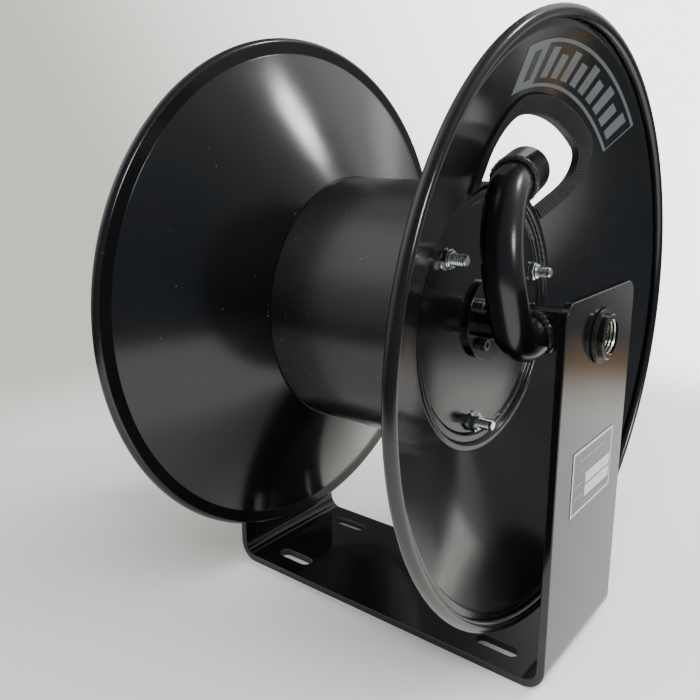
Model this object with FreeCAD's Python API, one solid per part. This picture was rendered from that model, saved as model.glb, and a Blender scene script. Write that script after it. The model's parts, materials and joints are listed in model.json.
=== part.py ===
import FreeCAD, Part
import math
import os

# Hand-crank hose reel on a one-piece U bracket.
# Frame: X is the reel axis with the fluid inlet at +X and the crank at -X, -Y is the front,
# +Z is up. The origin is the centre of the bracket's underside. Sizes are in millimetres.

# Bracket
PLATE_T = 4.76
BRACKET_HALF_X = 120.65
BRACKET_HALF_Y = 49.2
ARM_TOP_Z = 222.3
ARM_CORNER_R = 9.5
BEND_INNER_R = 9.0
AXIS_Z = 197.6
SLOT_X = 82.5
SLOT_Y = 31.5
SLOT_LENGTH = 28.6
SLOT_WIDTH = 9.5
PLATE_EDGE_R = 0.6

# Bushings in the two arms
BUSHING_R = 14.3
BUSHING_FLANGE_R = 17.5
BUSHING_FLANGE_T = 2.0
BUSHING_PROUD = 0.4
RUNNING_CLEARANCE = 0.05

# Data label on the outside of the inlet arm
LABEL_Y = 1.5
LABEL_Z = 117.6
LABEL_WIDTH = 59.8
LABEL_HEIGHT = 39.4
LABEL_T = 0.2
LABEL_CORNER_R = 1.2

# Reel
REEL_ANGLE = -10.5
SHEET_T = 1.5
DISC_BORE_R = 13.1
WEB_X = 49.0
LEDGE_X = 50.6
LIP_X = 53.0
RIM_X = 96.7
BEAD_RING_R = 166.7
BEAD_INNER_R = 1.8
BEAD_CURL = 288.0
DRUM_R = 80.8
DRUM_T = 2.3

# Outer face of a stamped disc from its hub to the start of its rolled rim: distance from the
# drum's middle, radius from the axis, and the bend radius on the outer face.
DISC_FACE = [
    (WEB_X, DISC_BORE_R, 0.0),
    (WEB_X, 70.6, 0.8),
    (LEDGE_X, 71.4, 2.0),
    (LEDGE_X, 76.0, 0.8),
    (LIP_X, 76.8, 2.0),
    (LIP_X, 80.6, 2.0),
    (RIM_X, 159.6, 3.0),
    (RIM_X, BEAD_RING_R, 0.0),
]
CONE_START = 5
CONE_END = 6

# Outlet window in the inlet disc, set by the outer outline of the rubber trim round it
WINDOW_CENTRE_ANGLE = 88.7
WINDOW_R_IN = 80.9
TRIM_HALF_ANGLE = 35.2
TRIM_R_OUT = 127.5
TRIM_CORNER_R = 26.6
TRIM_LEG = 8.2
TRIM_WEB = 1.8
TRIM_WALL = 1.3
TRIM_FROM_R = 81.2
TRIM_SPARE = 2.0

# Arc decal on the inlet disc
DECAL_R_IN = 131.0
DECAL_R_OUT = 154.5
DECAL_CENTRE_ANGLE = 88.6
DECAL_HALF_ANGLE = 30.6
DECAL_T = 0.15

# Tie rods clamping the discs on the drum
TIE_RODS = 3
TIE_CIRCLE_R = 63.5
TIE_FIRST_ANGLE = 30.0
TIE_ROD_R = 3.175
TIE_ROD_END_X = 63.4
TIE_ROD_CHAMFER = 0.6
TIE_HOLE_R = 3.5
NUT_BORE_R = 3.2
NUT_ACROSS_FLATS = 11.1
NUT_HEX_T = 3.3
NUT_CROWN_T = 1.6
NUT_CROWN_R = 5.1
NUT_CROWN_FILLET = 0.9
NUT_WELL_R = 4.1
NUT_WELL_T = 0.8
NUT_FIRST_TURN = 8.0
NUT_TURN_STEP = 6.0
WASHER_R = 6.15
WASHER_T = 1.0
WASHER_TEETH = 10
WASHER_TOOTH_DEPTH = 0.8
WASHER_NOTCH_SHIFT = 0.1

# Hub plates and their screws
HUB_PLATE_R = 25.6
HUB_PLATE_T = 3.2
HUB_PLATE_FILLET = 0.6
HUB_SCREWS = 4
HUB_SCREW_CIRCLE_R = 16.7
HUB_SCREW_FIRST_ANGLE = 67.0
HUB_SCREW_R = 2.1
HUB_SCREW_LENGTH = 9.5
HUB_SCREW_HEAD_R = 3.6
HUB_SCREW_HEAD_T = 4.2
HUB_SCREW_HEAD_FILLET = 0.5
HUB_SCREW_SOCKET_R = 1.7
HUB_SCREW_SOCKET_T = 2.2
HUB_NUT_ACROSS_FLATS = 7.0
HUB_NUT_T = 3.0

# Hexagons and threads: the flat face of a hexagon as a share of its width, how fast its
# corners flare behind that face, and the gap that stands for a thread's play.
HEX_FACE_SHARE = 0.48
HEX_FLARE = 1.8
THREAD_PLAY = 0.05

# Shafts
SHAFT_R = 12.7
SHAFT_BORE_R = 7.9
SHAFT_CHAMFER = 0.7
INLET_END_X = 126.5
INLET_THREAD_R = 9.9
INLET_THREAD_LENGTH = 14.5
SHAFT_INNER_X = 44.0
SHAFT_PLUG_T = 4.0
CRANK_SHAFT_END_X = -147.0
RING_GROOVE_X = 121.35
RING_T = 1.5
RING_OUTER_R = 15.45
RING_INNER_R = 12.0
RING_GROOVE_R = 11.95
RING_GAP_ANGLE = 38.0
RING_GAP_CENTRE = 62.0
RING_EAR_R = 1.9
RING_EAR_SINK = 1.05
RING_EAR_SPREAD = 2.0
RING_EAR_HOLE_R = 0.8
RING_AXIAL_PLAY = 0.05

# Gooseneck riser from the shaft to the outlet coupling, in the reel's own frame
GOOSENECK_R = 11.1
GOOSENECK_BORE_R = 8.6
PORT_R = 7.4
GOOSENECK_START = (84.9, 0.0, 0.0)
GOOSENECK_FIRST_CORNER = (87.2, -31.6, -16.4)
GOOSENECK_SECOND_CORNER = (82.7, -73.3, 61.5)
GOOSENECK_END = (71.6, -26.7, 79.9)
GOOSENECK_FIRST_BEND_R = 22.6
GOOSENECK_SECOND_BEND_R = 42.0
COUPLING_R = 13.8
COUPLING_LENGTH = 21.0
COUPLING_THREAD_R = 9.9
COUPLING_THREAD_LENGTH = 15.0
COUPLING_LAP = 6.0
COUPLING_CHAMFER = 1.2

# Crank
CRANK_ANGLE = -65.0
CRANK_RADIUS = 125.0
CRANK_HUB_R = 19.0
CRANK_HUB_X = -123.6
CRANK_HUB_LENGTH = 22.0
CRANK_BAR_T = 6.0
CRANK_BAR_WIDTH = 28.0
CRANK_BAR_TIP_WIDTH = 24.0
SET_SCREW_SHIFT = 3.0
SET_SCREW_R = 3.9
SET_SCREW_HOLE_R = 4.0
SET_SCREW_LENGTH = 8.0
SET_SCREW_SOCKET_R = 1.8
SET_SCREW_SOCKET_T = 3.5
SEAT_SINK = 1.0
SEAT_R = 4.2
SEAT_DEPTH = 6.0
GRIP_BOLT_R = 4.75
GRIP_BOLT_HEAD_R = 7.6
GRIP_BOLT_HEAD_T = 4.6
GRIP_BOLT_SOCKET_R = 2.6
GRIP_BOLT_SOCKET_T = 3.0
GRIP_BOLT_TIP = 1.5
GRIP_THREAD_R = 3.9
GRIP_GAP = 0.6
GRIP_LENGTH = 88.0
GRIP_END_GAP = 0.5
GRIP_WELL_R = 8.2
GRIP_WELL_T = 5.6
GRIP_NUT_ACROSS_FLATS = 14.3
GRIP_NUT_T = 5.6
GRIP_NUT_TURN = 10.0
GRIP_WASHER_R = 8.6
GRIP_WASHER_T = 1.4

# Outer shape of the grip: distance from its inner end, radius and bend radius
GRIP_SHAPE = [
    (0.0, 12.5, 1.5),
    (8.0, 14.5, 8.0),
    (26.0, 16.5, 30.0),
    (52.0, 15.0, 40.0),
    (76.0, 17.0, 12.0),
    (GRIP_LENGTH, 14.5, 4.0),
]

# How far cutters pass the faces they cut through, and how far fused pieces sink together
PAST = 1.0
SINK = 0.2

ORIGIN = FreeCAD.Vector(0, 0, 0)
X_AXIS = FreeCAD.Vector(1, 0, 0)


def vector(point):
    """Vector from a point given as three numbers."""
    return FreeCAD.Vector(*point)


def polar(radius, angle, x=0.0):
    """Point at a radius and an angle in degrees about the X axis, 90 degrees being up."""
    turn = math.radians(angle)
    return FreeCAD.Vector(x, radius * math.cos(turn), radius * math.sin(turn))


def rod(radius, x_start, x_end, centre=ORIGIN):
    """Solid cylinder along X through a centre point."""
    base = FreeCAD.Vector(min(x_start, x_end), centre.y, centre.z)
    return Part.makeCylinder(radius, abs(x_end - x_start), base, X_AXIS)


def tube(outer_r, inner_r, x_start, x_end, centre=ORIGIN):
    """Hollow cylinder along X."""
    hole = rod(inner_r, min(x_start, x_end) - PAST, max(x_start, x_end) + PAST, centre)
    return rod(outer_r, x_start, x_end, centre).cut(hole)


def hexagon(across_flats, x_start, x_end, centre, turn=0.0):
    """Hexagonal prism along X with its top and bottom corners rounded off."""
    corner_r = across_flats / math.sqrt(3.0)
    points = []
    for i in range(7):
        point = polar(corner_r, turn + 60.0 * i, x_start)
        points.append(FreeCAD.Vector(x_start, centre.y + point.y, centre.z + point.z))
    prism = Part.Face(Part.makePolygon(points)).extrude(FreeCAD.Vector(x_end - x_start, 0, 0))
    height = abs(x_end - x_start)
    base = FreeCAD.Vector(min(x_start, x_end), centre.y, centre.z)
    face_r = across_flats * HEX_FACE_SHARE
    wide_r = face_r + height * HEX_FLARE
    lower = Part.makeCone(face_r, wide_r, height, base, X_AXIS)
    top = FreeCAD.Vector(base.x + height, centre.y, centre.z)
    upper = Part.makeCone(face_r, wide_r, height, top, -X_AXIS)
    return prism.common(lower).common(upper)


def rounded_wire(corners):
    """Closed wire through corners given as a point and a corner radius."""
    ends = []
    arcs = []
    for i, (point, radius) in enumerate(corners):
        to_before = (corners[i - 1][0] - point).normalize()
        to_after = (corners[(i + 1) % len(corners)][0] - point).normalize()
        half = math.acos(max(-1.0, min(1.0, to_before.dot(to_after)))) / 2.0
        if radius <= 0.0 or half > math.radians(89.5):
            ends.append((point, point))
            arcs.append(None)
            continue
        reach = radius / math.tan(half)
        bisector = (to_before + to_after).normalize()
        middle = point + bisector * (radius / math.sin(half) - radius)
        start = point + to_before * reach
        finish = point + to_after * reach
        ends.append((start, finish))
        arcs.append(Part.Arc(start, middle, finish).toShape())
    edges = []
    for i, arc in enumerate(arcs):
        if arc is not None:
            edges.append(arc)
        start = ends[i][1]
        finish = ends[(i + 1) % len(corners)][0]
        if start.distanceToPoint(finish) > 1e-6:
            edges.append(Part.makeLine(start, finish))
    return Part.Wire(edges)


def revolve(wire):
    """Solid of revolution about the X axis."""
    return Part.Face(wire).revolve(ORIGIN, X_AXIS, 360.0)


def ring_section(points):
    """Solid of revolution from (x, radius) pairs."""
    corners = [(FreeCAD.Vector(x, 0, r), 0.0) for x, r in points]
    return revolve(rounded_wire(corners))


def offset_face(points, distance):
    """(x, radius, bend) line shifted towards the drum, keeping its bends concentric."""
    normals = []
    for (x0, r0, _), (x1, r1, _) in zip(points, points[1:]):
        length = math.hypot(x1 - x0, r1 - r0)
        normals.append((-(r1 - r0) / length, (x1 - x0) / length))
    shifted = []
    for i, (x, r, bend) in enumerate(points):
        before = normals[max(i - 1, 0)]
        after = normals[min(i, len(normals) - 1)]
        sum_x = before[0] + after[0]
        sum_r = before[1] + after[1]
        scale = 2.0 * distance / (sum_x * sum_x + sum_r * sum_r)
        turn = before[0] * after[1] - before[1] * after[0]
        new_bend = bend + distance if turn < 0 else bend - distance
        if bend == 0.0:
            new_bend = 0.0
        shifted.append((x + sum_x * scale, r + sum_r * scale, max(new_bend, 0.0)))
    return shifted


def cone_x(radius):
    """Distance of the conical outer face from the drum's middle at a radius."""
    x0, r0, _ = DISC_FACE[CONE_START]
    x1, r1, _ = DISC_FACE[CONE_END]
    return x0 + (radius - r0) * (x1 - x0) / (r1 - r0)


def along_x(thickness):
    """Distance along X that a thickness square to the cone takes up."""
    return thickness * math.hypot(1.0, cone_x(1.0) - cone_x(0.0))


def cone_shell(r_in, r_out, below, above):
    """Shell that follows the conical face, from below it to above it along X."""
    return ring_section([
        (cone_x(r_in) - below, r_in),
        (cone_x(r_in) + above, r_in),
        (cone_x(r_out) + above, r_out),
        (cone_x(r_out) - below, r_out),
    ])


def on_reel(shape):
    """Reel piece turned to its rest angle and lifted to the axis height."""
    placed = shape.copy()
    placed.rotate(ORIGIN, X_AXIS, REEL_ANGLE)
    placed.translate(FreeCAD.Vector(0, 0, AXIS_Z))
    return placed


def mirrored(shape):
    """Copy of a reel piece for the other end of the drum."""
    return shape.mirror(ORIGIN, X_AXIS)


def bracket_slot(x, y):
    """Obround cutter for one mounting slot, long along X."""
    radius = SLOT_WIDTH / 2.0
    reach = SLOT_LENGTH / 2.0 - radius
    depth = PLATE_T + 2.0 * PAST
    corner = FreeCAD.Vector(x - reach, y - radius, -PAST)
    middle = Part.makeBox(2 * reach, SLOT_WIDTH, depth, corner)
    left = Part.makeCylinder(radius, depth, FreeCAD.Vector(x - reach, y, -PAST))
    right = Part.makeCylinder(radius, depth, FreeCAD.Vector(x + reach, y, -PAST))
    return middle.fuse([left, right]).removeSplitter()


def make_bracket():
    """Bent plate with two arms, four slots in the base and a bushing hole in each arm."""
    outer = BRACKET_HALF_X
    inner = BRACKET_HALF_X - PLATE_T
    bend_outer = BEND_INNER_R + PLATE_T
    y = -BRACKET_HALF_Y
    corners = [
        (FreeCAD.Vector(-outer, y, ARM_TOP_Z), 0.0),
        (FreeCAD.Vector(-outer, y, 0), bend_outer),
        (FreeCAD.Vector(outer, y, 0), bend_outer),
        (FreeCAD.Vector(outer, y, ARM_TOP_Z), 0.0),
        (FreeCAD.Vector(inner, y, ARM_TOP_Z), 0.0),
        (FreeCAD.Vector(inner, y, PLATE_T), BEND_INNER_R),
        (FreeCAD.Vector(-inner, y, PLATE_T), BEND_INNER_R),
        (FreeCAD.Vector(-inner, y, ARM_TOP_Z), 0.0),
    ]
    section = Part.Face(rounded_wire(corners))
    body = section.extrude(FreeCAD.Vector(0, 2 * BRACKET_HALF_Y, 0))
    body = body.common(arm_outline()).removeSplitter()
    body = body.makeFillet(PLATE_EDGE_R, plate_rims(body))
    cutters = []
    for side_x in (-1, 1):
        for side_y in (-1, 1):
            cutters.append(bracket_slot(side_x * SLOT_X, side_y * SLOT_Y))
    cutters.append(rod(BUSHING_R, -outer - PAST, outer + PAST, FreeCAD.Vector(0, 0, AXIS_Z)))
    return body.cut(cutters)


def plate_rims(body):
    """Edges round the plate's cut rim, apart from the short ones across its thickness."""
    rims = []
    for edge in body.Edges:
        ends = [vertex.Point for vertex in edge.Vertexes]
        across = abs(edge.Length - PLATE_T) < 0.01
        bend_line = abs(abs(ends[0].y - ends[-1].y) - 2 * BRACKET_HALF_Y) < 0.01
        if not across and not bend_line:
            rims.append(edge)
    return rims


def arm_outline():
    """Block with the arms' rounded top corners, used to trim the bent plate."""
    x = -BRACKET_HALF_X - PAST
    corners = [
        (FreeCAD.Vector(x, -BRACKET_HALF_Y, -PAST), 0.0),
        (FreeCAD.Vector(x, BRACKET_HALF_Y, -PAST), 0.0),
        (FreeCAD.Vector(x, BRACKET_HALF_Y, ARM_TOP_Z), ARM_CORNER_R),
        (FreeCAD.Vector(x, -BRACKET_HALF_Y, ARM_TOP_Z), ARM_CORNER_R),
    ]
    return Part.Face(rounded_wire(corners)).extrude(FreeCAD.Vector(-2 * x, 0, 0))


def make_bushing(side):
    """Flanged bushing with its flange on the inside of an arm; side is 1 or -1."""
    face_in = BRACKET_HALF_X - PLATE_T
    bore = SHAFT_R + RUNNING_CLEARANCE
    sleeve = tube(BUSHING_R, bore, face_in - BUSHING_FLANGE_T, BRACKET_HALF_X + BUSHING_PROUD)
    flange = tube(BUSHING_FLANGE_R, bore, face_in - BUSHING_FLANGE_T, face_in)
    shape = sleeve.fuse(flange).removeSplitter()
    if side < 0:
        shape = mirrored(shape)
    shape.translate(FreeCAD.Vector(0, 0, AXIS_Z))
    return shape


def make_label():
    """Thin data label lying on the outside of the inlet arm."""
    x = BRACKET_HALF_X
    half_w = LABEL_WIDTH / 2.0
    half_h = LABEL_HEIGHT / 2.0
    corners = [
        (FreeCAD.Vector(x, LABEL_Y - half_w, LABEL_Z - half_h), LABEL_CORNER_R),
        (FreeCAD.Vector(x, LABEL_Y + half_w, LABEL_Z - half_h), LABEL_CORNER_R),
        (FreeCAD.Vector(x, LABEL_Y + half_w, LABEL_Z + half_h), LABEL_CORNER_R),
        (FreeCAD.Vector(x, LABEL_Y - half_w, LABEL_Z + half_h), LABEL_CORNER_R),
    ]
    return Part.Face(rounded_wire(corners)).extrude(FreeCAD.Vector(LABEL_T, 0, 0))


def make_rim_bead():
    """Sheet edge curled outwards, away from the hose, into a round bead."""
    outer_r = BEAD_INNER_R + SHEET_T
    centre_x = RIM_X + BEAD_INNER_R

    def spot(radius, angle):
        turn = math.radians(angle)
        x = centre_x - radius * math.cos(turn)
        return FreeCAD.Vector(x, 0, BEAD_RING_R + radius * math.sin(turn))

    outside = Part.Arc(spot(outer_r, 0.0), spot(outer_r, BEAD_CURL / 2.0), spot(outer_r, BEAD_CURL))
    inside = Part.Arc(spot(BEAD_INNER_R, 0.0), spot(BEAD_INNER_R, BEAD_CURL / 2.0),
                      spot(BEAD_INNER_R, BEAD_CURL))
    tip = Part.makeLine(spot(outer_r, BEAD_CURL), spot(BEAD_INNER_R, BEAD_CURL))
    root = Part.makeLine(spot(BEAD_INNER_R, 0.0), spot(outer_r, 0.0))
    return revolve(Part.Wire([outside.toShape(), tip, inside.toShape(), root]))


def make_plain_disc():
    """Stamped disc at the +X end: flat web, ledge, lip, cone, flat rim and rolled bead."""
    near = offset_face(DISC_FACE, SHEET_T)
    corners = [(FreeCAD.Vector(x, 0, r), bend) for x, r, bend in DISC_FACE]
    corners += [(FreeCAD.Vector(x, 0, r), bend) for x, r, bend in reversed(near)]
    sheet = revolve(rounded_wire(corners))
    disc = sheet.fuse(make_rim_bead()).removeSplitter()
    holes = []
    near_x = WEB_X - SHEET_T - PAST
    for centre in tie_rod_centres():
        holes.append(rod(TIE_HOLE_R, near_x, WEB_X + PAST, centre))
    for centre in hub_screw_centres():
        holes.append(rod(HUB_SCREW_R, near_x, WEB_X + PAST, centre))
    return disc.cut(holes)


def window_prism(inset, r_in):
    """Prism along X with the trim's outer outline, moved inwards by an inset."""
    start_x = 0.0
    depth = 2.0 * RIM_X
    r_out = TRIM_R_OUT - inset
    lean = polar(1.0, 90.0 - TRIM_HALF_ANGLE)
    inwards = FreeCAD.Vector(0, -lean.z, lean.y) * inset
    low_right = lean * (r_in / 2.0) + inwards
    far_right = lean * (r_out * 2.0) + inwards
    corners = [
        FreeCAD.Vector(start_x, -low_right.y, low_right.z),
        FreeCAD.Vector(start_x, low_right.y, low_right.z),
        FreeCAD.Vector(start_x, far_right.y, far_right.z),
        FreeCAD.Vector(start_x, -far_right.y, far_right.z),
    ]
    wedge = Part.Face(Part.makePolygon(corners + [corners[0]])).extrude(FreeCAD.Vector(depth, 0, 0))
    sector = wedge.common(tube(r_out, r_in, start_x, start_x + depth))
    upright = []
    for edge in sector.Edges:
        ends = [vertex.Point for vertex in edge.Vertexes]
        if len(ends) != 2 or abs(ends[0].x - ends[1].x) < depth / 2.0:
            continue
        if math.hypot(ends[0].y, ends[0].z) > r_out - PAST:
            upright.append(edge)
    prism = sector.makeFillet(TRIM_CORNER_R - inset, upright)
    prism.rotate(ORIGIN, X_AXIS, WINDOW_CENTRE_ANGLE - 90.0)
    return prism


def make_inlet_disc():
    """Disc at the inlet end with the outlet window cut through its cone."""
    return make_plain_disc().cut(window_prism(TRIM_LEG, WINDOW_R_IN))


def make_edge_trim(disc):
    """Channel of rubber edging pushed over the sides and top of the window's edge."""
    hole = window_prism(TRIM_LEG + TRIM_WEB, TRIM_FROM_R - TRIM_SPARE)
    frame = window_prism(0.0, TRIM_FROM_R).cut(hole)
    below = along_x(SHEET_T + TRIM_WALL)
    shell = cone_shell(TRIM_FROM_R, TRIM_R_OUT + TRIM_SPARE, below, along_x(TRIM_WALL))
    return frame.common(shell).cut(disc).Solids[0]


def make_decal():
    """Thin arc decal on the cone of the inlet disc."""
    corners = [
        (cone_x(DECAL_R_IN), DECAL_R_IN),
        (cone_x(DECAL_R_IN) + DECAL_T, DECAL_R_IN),
        (cone_x(DECAL_R_OUT) + DECAL_T, DECAL_R_OUT),
        (cone_x(DECAL_R_OUT), DECAL_R_OUT),
    ]
    wire = rounded_wire([(FreeCAD.Vector(x, r, 0), 0.0) for x, r in corners])
    arc = Part.Face(wire).revolve(ORIGIN, X_AXIS, 2 * DECAL_HALF_ANGLE)
    arc.rotate(ORIGIN, X_AXIS, DECAL_CENTRE_ANGLE - DECAL_HALF_ANGLE)
    return arc


def make_drum():
    """Drum the hose winds on, clamped between the lips of the two discs."""
    end = LIP_X - SHEET_T
    return tube(DRUM_R, DRUM_R - DRUM_T, -end, end)


def tie_rod_centres():
    """Centres of the tie rods on their circle."""
    return [polar(TIE_CIRCLE_R, TIE_FIRST_ANGLE + 360.0 * i / TIE_RODS) for i in range(TIE_RODS)]


def hub_screw_centres():
    """Centres of the hub screws on their circle."""
    step = 360.0 / HUB_SCREWS
    return [polar(HUB_SCREW_CIRCLE_R, HUB_SCREW_FIRST_ANGLE + step * i) for i in range(HUB_SCREWS)]


def make_tie_rods():
    """Rods through the drum, each with chamfered ends."""
    rods = []
    for centre in tie_rod_centres():
        shape = rod(TIE_ROD_R, -TIE_ROD_END_X, TIE_ROD_END_X, centre)
        rims = [edge for edge in shape.Edges if abs(abs(edge.CenterOfMass.x) - TIE_ROD_END_X) < 0.01]
        rods.append(shape.makeChamfer(TIE_ROD_CHAMFER, rims))
    return Part.makeCompound(rods)


def make_tooth_washers():
    """External-tooth lock washers on the inlet disc's web."""
    shapes = []
    for centre in tie_rod_centres():
        shape = tube(WASHER_R, NUT_BORE_R, WEB_X, WEB_X + WASHER_T, centre)
        notches = []
        for i in range(WASHER_TEETH):
            place = centre + polar(WASHER_R + WASHER_NOTCH_SHIFT, 360.0 * i / WASHER_TEETH)
            notches.append(rod(WASHER_TOOTH_DEPTH, WEB_X - PAST, WEB_X + WASHER_T + PAST, place))
        shapes.append(shape.cut(notches))
    return Part.makeCompound(shapes)


def make_lock_nuts():
    """Lock nuts with a rounded crown on the inlet ends of the tie rods."""
    start = WEB_X + WASHER_T
    crown_x = start + NUT_HEX_T
    tip_x = crown_x + NUT_CROWN_T
    shapes = []
    for i, centre in enumerate(tie_rod_centres()):
        body = hexagon(NUT_ACROSS_FLATS, start, crown_x, centre, NUT_FIRST_TURN + NUT_TURN_STEP * i)
        crown = rod(NUT_CROWN_R, crown_x - SINK, tip_x, centre)
        rims = [edge for edge in crown.Edges if abs(edge.CenterOfMass.x - tip_x) < 0.01]
        crown = crown.makeFillet(NUT_CROWN_FILLET, rims)
        well = rod(NUT_WELL_R, tip_x - NUT_WELL_T, tip_x + PAST, centre)
        bore = rod(NUT_BORE_R, start - PAST, tip_x + PAST, centre)
        shapes.append(body.fuse(crown).cut([well, bore]).removeSplitter())
    return Part.makeCompound(shapes)


def make_hub_plate():
    """Round flange on the inlet shaft, drilled for the hub screws."""
    shape = tube(HUB_PLATE_R, SHAFT_R, WEB_X, WEB_X + HUB_PLATE_T)
    rims = [edge for edge in shape.Edges if rim_at(edge, WEB_X + HUB_PLATE_T, HUB_PLATE_R)]
    shape = shape.makeFillet(HUB_PLATE_FILLET, rims)
    end = WEB_X + HUB_PLATE_T + PAST
    return shape.cut([rod(HUB_SCREW_R, WEB_X - PAST, end, centre) for centre in hub_screw_centres()])


def rim_at(edge, x, radius):
    """True for a full circle about the X axis at a given place and radius."""
    box = edge.BoundBox
    flat = abs(box.XMin - x) < 0.01 and abs(box.XMax - x) < 0.01
    return flat and abs(box.YLength - 2 * radius) < 0.05


def make_hub_screws():
    """Socket-head cap screws clamping the hub plate to the web."""
    seat = WEB_X + HUB_PLATE_T
    shapes = []
    for centre in hub_screw_centres():
        shank = rod(HUB_SCREW_R - THREAD_PLAY, seat - HUB_SCREW_LENGTH, seat + SINK, centre)
        head = rod(HUB_SCREW_HEAD_R, seat, seat + HUB_SCREW_HEAD_T, centre)
        top = seat + HUB_SCREW_HEAD_T
        rims = [edge for edge in head.Edges if abs(edge.CenterOfMass.x - top) < 0.01]
        head = head.makeFillet(HUB_SCREW_HEAD_FILLET, rims)
        socket = hexagon(2 * HUB_SCREW_SOCKET_R, top - HUB_SCREW_SOCKET_T, top + PAST, centre)
        shapes.append(head.fuse(shank).cut(socket).removeSplitter())
    return Part.makeCompound(shapes)


def make_hub_nuts():
    """Hexagon nuts behind the web, each with a flat towards the shaft."""
    end = WEB_X - SHEET_T
    shapes = []
    for centre in hub_screw_centres():
        turn = math.degrees(math.atan2(centre.z, centre.y)) + 30.0
        body = hexagon(HUB_NUT_ACROSS_FLATS, end - HUB_NUT_T, end, centre, turn)
        shapes.append(body.cut(rod(HUB_SCREW_R, end - HUB_NUT_T - PAST, end + PAST, centre)))
    return Part.makeCompound(shapes)


def gooseneck_wire():
    """Centre line of the riser: two straight bends joined by straight runs."""
    start = vector(GOOSENECK_START)
    first = vector(GOOSENECK_FIRST_CORNER)
    second = vector(GOOSENECK_SECOND_CORNER)
    end = vector(GOOSENECK_END)
    edges = []
    cursor = start
    for point, before, after, radius in (
        (first, start, second, GOOSENECK_FIRST_BEND_R),
        (second, first, end, GOOSENECK_SECOND_BEND_R),
    ):
        to_before = (before - point).normalize()
        to_after = (after - point).normalize()
        half = to_before.getAngle(to_after) / 2.0
        reach = radius / math.tan(half)
        bisector = (to_before + to_after).normalize()
        middle = point + bisector * (radius / math.sin(half) - radius)
        arc_start = point + to_before * reach
        arc_end = point + to_after * reach
        edges.append(Part.makeLine(cursor, arc_start))
        edges.append(Part.Arc(arc_start, middle, arc_end).toShape())
        cursor = arc_end
    edges.append(Part.makeLine(cursor, end))
    return Part.Wire(edges)


def sweep_circle(wire, radius):
    """Round bar swept along a wire."""
    start = vector(GOOSENECK_START)
    heading = (vector(GOOSENECK_FIRST_CORNER) - start).normalize()
    circle = Part.Wire([Part.makeCircle(radius, start, heading)])
    return wire.makePipeShell([circle], True, True)


def outlet_direction():
    """Unit vector along the outlet coupling, away from the gooseneck."""
    return (vector(GOOSENECK_END) - vector(GOOSENECK_SECOND_CORNER)).normalize()


def make_gooseneck():
    """Bent riser, saddled on the shaft and open at its outlet end."""
    wire = gooseneck_wire()
    body = sweep_circle(wire, GOOSENECK_R).cut(sweep_circle(wire, GOOSENECK_BORE_R))
    trimmed = body.cut(rod(SHAFT_R, SHAFT_INNER_X, INLET_END_X))
    outside = [solid for solid in trimmed.Solids if solid.BoundBox.ZMax > 2 * SHAFT_R]
    return outside[0]


def make_coupling():
    """Round coupling lapped over the riser's end, bored for a pipe thread at its mouth."""
    along = outlet_direction()
    end = vector(GOOSENECK_END)
    base = end - along * COUPLING_LAP
    length = COUPLING_LENGTH + COUPLING_LAP
    body = Part.makeCylinder(COUPLING_R, length, base, along)
    rims = [edge for edge in body.Edges if edge.isClosed()]
    body = body.makeChamfer(COUPLING_CHAMFER, rims)
    socket = Part.makeCylinder(GOOSENECK_R, COUPLING_LAP, base, along)
    passage = Part.makeCylinder(GOOSENECK_BORE_R, length, base, along)
    mouth = end + along * (COUPLING_LENGTH - COUPLING_THREAD_LENGTH)
    thread = Part.makeCylinder(COUPLING_THREAD_R, COUPLING_THREAD_LENGTH + PAST, mouth, along)
    return body.cut([socket, passage, thread])


def make_inlet_shaft():
    """Hollow shaft with a plugged inner end, a threaded mouth and a port for the riser."""
    body = rod(SHAFT_R, SHAFT_INNER_X, INLET_END_X)
    rims = [edge for edge in body.Edges if rim_at(edge, INLET_END_X, SHAFT_R)]
    body = body.makeChamfer(SHAFT_CHAMFER, rims)
    bore = rod(SHAFT_BORE_R, SHAFT_INNER_X + SHAFT_PLUG_T, INLET_END_X + PAST)
    thread = rod(INLET_THREAD_R, INLET_END_X - INLET_THREAD_LENGTH, INLET_END_X + PAST)
    groove = ring_groove()
    start = vector(GOOSENECK_START)
    heading = (vector(GOOSENECK_FIRST_CORNER) - start).normalize()
    port = Part.makeCylinder(PORT_R, SHAFT_R + PAST, start, heading)
    return body.cut([bore, thread, groove, port])


def ring_groove():
    """Cutter for the retaining ring's groove in the inlet shaft."""
    near = RING_GROOVE_X - RING_AXIAL_PLAY
    far = RING_GROOVE_X + RING_T + RING_AXIAL_PLAY
    return tube(SHAFT_R + PAST, RING_GROOVE_R, near, far)


def make_retaining_ring(centre_angle):
    """External retaining ring with a gap between two drilled ears."""
    end = RING_GROOVE_X + RING_T
    ring = tube(RING_OUTER_R, RING_INNER_R, RING_GROOVE_X, end)
    half = RING_GAP_ANGLE / 2.0
    far = RING_OUTER_R * 2.0
    near_x = RING_GROOVE_X - PAST
    tip = FreeCAD.Vector(near_x, 0, 0)
    sides = [polar(far, centre_angle + side * half, near_x) for side in (-1, 1)]
    wedge = Part.Face(Part.makePolygon([tip, sides[0], sides[1], tip]))
    ring = ring.cut(wedge.extrude(FreeCAD.Vector(RING_T + 2 * PAST, 0, 0)))
    ear_circle = RING_OUTER_R - RING_EAR_SINK
    ears = []
    holes = []
    for side in (-1, 1):
        spot = polar(ear_circle, centre_angle + side * (half + RING_EAR_SPREAD))
        ears.append(rod(RING_EAR_R, RING_GROOVE_X, end, spot))
        holes.append(rod(RING_EAR_HOLE_R, near_x, end + PAST, spot))
    keep_out = rod(RING_INNER_R, near_x, end + PAST)
    return ring.fuse(ears).cut(holes + [keep_out]).removeSplitter()


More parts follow.
